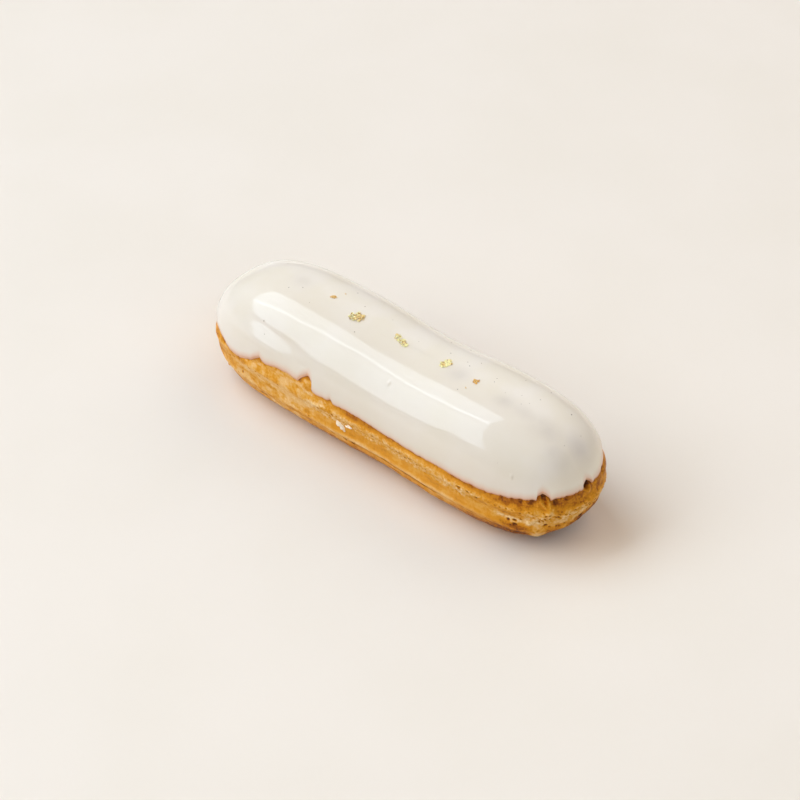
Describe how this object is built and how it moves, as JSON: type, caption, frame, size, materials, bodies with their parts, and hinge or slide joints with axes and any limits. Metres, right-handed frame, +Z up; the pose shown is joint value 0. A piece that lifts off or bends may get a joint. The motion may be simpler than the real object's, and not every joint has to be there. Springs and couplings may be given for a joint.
{
  "type": "eclair",
  "caption": "Iced eclair: a long ridged choux bun with rounded ends, glossy white icing over its upper half and crumbs of gold leaf on top.",
  "frame": {"origin": "middle of the flat base", "axes": "+X along the eclair's length, +Z up, -Y towards the flank that faces the viewer"},
  "size_m": [0.1405, 0.042, 0.0373],
  "materials": {
    "choux": "baked golden choux crust, smooth golden valleys and pale crackled ridges",
    "icing": "glossy ivory white poured icing, slightly translucent"
  },
  "bodies": {
    "root": {"choux": "choux", "icing": "icing"}
  },
  "joints": []
}
